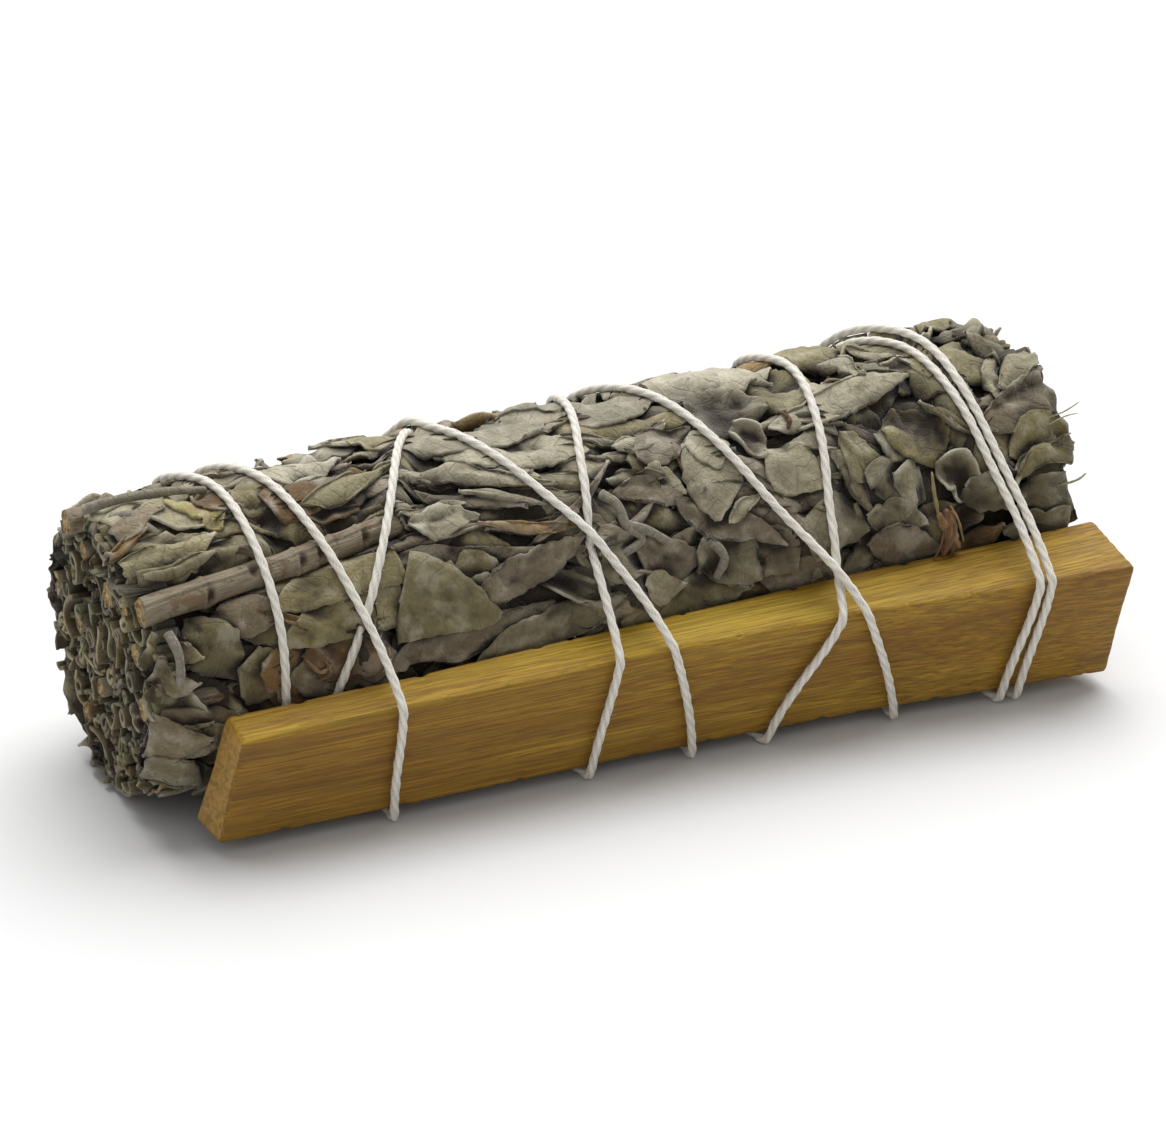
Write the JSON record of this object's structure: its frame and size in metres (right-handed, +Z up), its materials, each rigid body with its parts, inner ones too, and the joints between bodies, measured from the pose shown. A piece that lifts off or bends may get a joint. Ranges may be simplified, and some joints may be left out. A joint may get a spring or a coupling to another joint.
{
  "type": "sage bunch",
  "caption": "Dried white sage bundle lying on its side, its leaves and cut stems bound with a split stick of palo santo wood by a criss-crossed cotton string.",
  "frame": {"origin": "centre of the bunch's bounding box, on the surface that it lies on", "axes": "+X along the bunch, from its cut stems to its leaf ends; +Y away from the wood stick; +Z up"},
  "size_m": [0.1074, 0.0431, 0.0342],
  "materials": {
    "sage_leaf": "dry, velvety, matte",
    "sage_stem": "thin dry bark, matte",
    "palo_santo": "split, unfinished",
    "cotton_string": "twisted, slightly fuzzy"
  },
  "bodies": {
    "root": {"sage_leaves": "sage_leaf", "stem_01": "sage_stem", "stem_02": "sage_stem", "stem_03": "sage_stem", "stem_04": "sage_stem", "stem_05": "sage_stem", "stem_06": "sage_stem", "stem_07": "sage_stem", "stem_08": "sage_stem", "stem_09": "sage_stem", "stem_10": "sage_stem", "stem_11": "sage_stem", "stem_12": "sage_stem", "palo_santo_stick": "palo_santo", "cotton_string": "cotton_string"}
  },
  "joints": []
}
